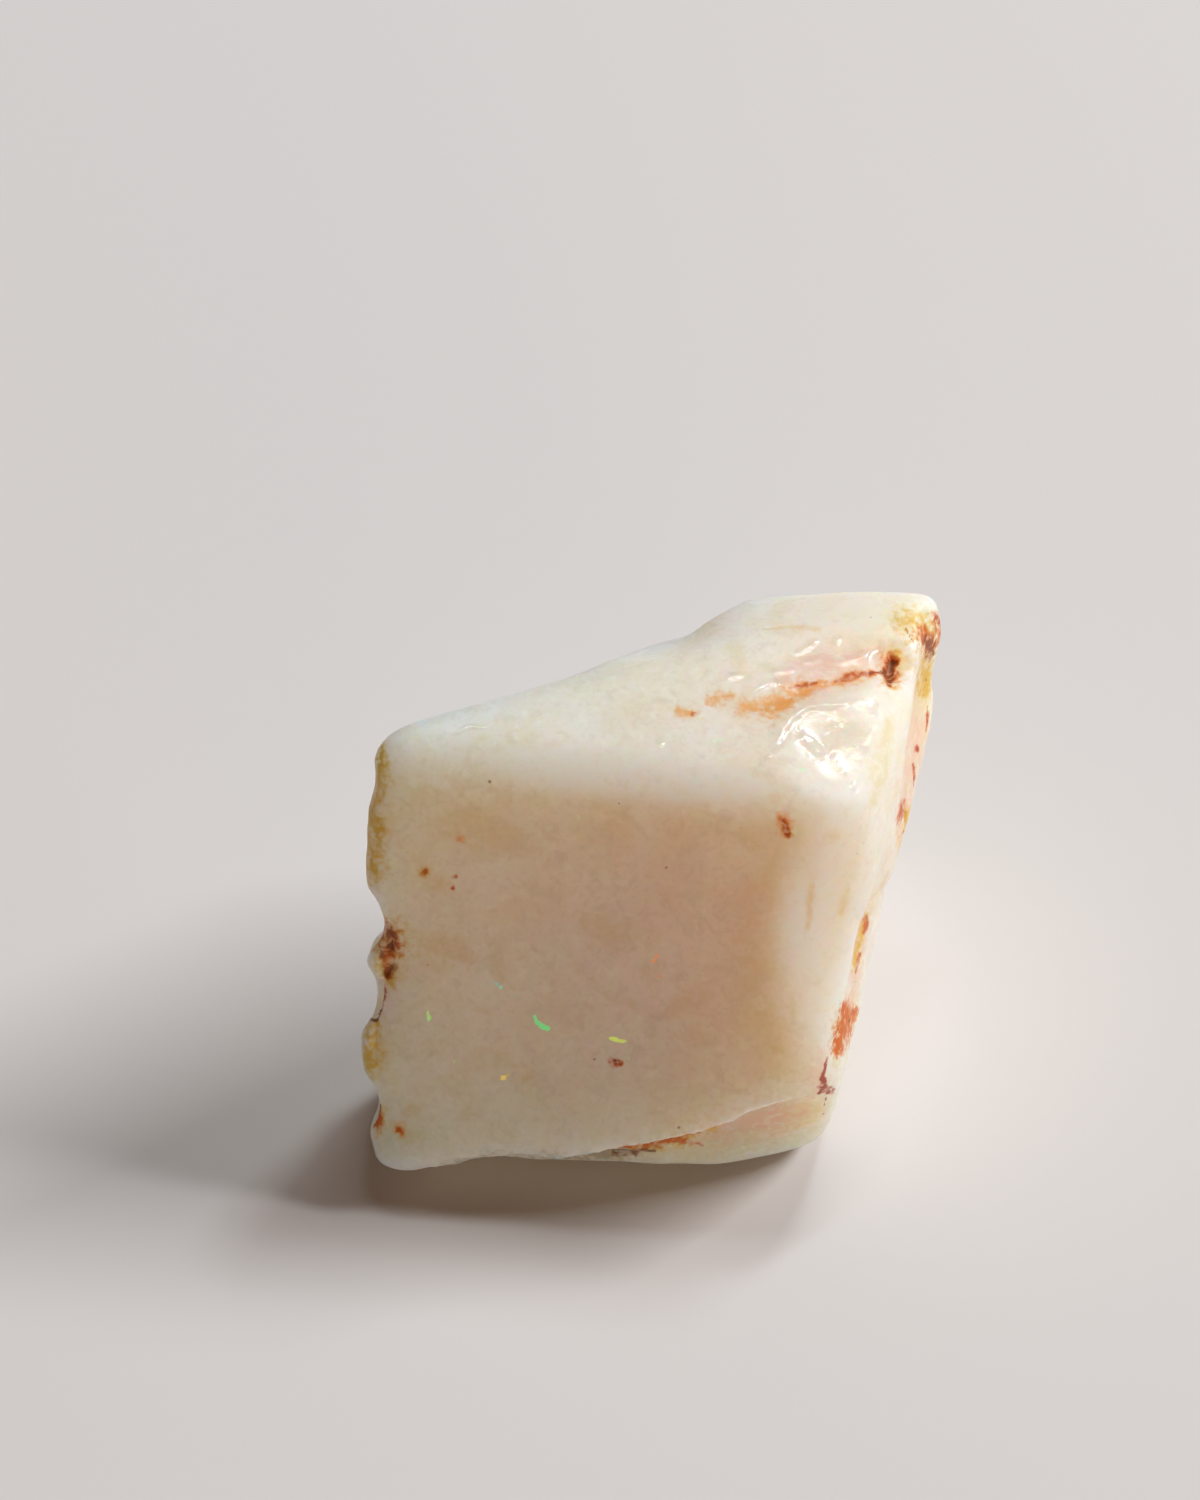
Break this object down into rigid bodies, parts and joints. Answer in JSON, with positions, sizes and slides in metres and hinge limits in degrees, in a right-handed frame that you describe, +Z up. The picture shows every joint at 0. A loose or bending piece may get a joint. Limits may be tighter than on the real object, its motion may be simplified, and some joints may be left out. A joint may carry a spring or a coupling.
{
  "type": "rough opal specimen",
  "caption": "Rough milky opal: one natural stone broken along flat fractures, with worn edges, flake scars and a flat face to rest on.",
  "frame": {"origin": "middle of the stone's box, on the surface it rests on", "axes": "+Z up as it rests, +X along its longest side, -Y out of the broad front face"},
  "size_m": [0.0298, 0.0248, 0.0227],
  "materials": {
    "opal": "milky cream opal, waxy to glassy, with rust stains and a few flecks of fire"
  },
  "bodies": {
    "root": {"opal": "opal"}
  },
  "joints": []
}
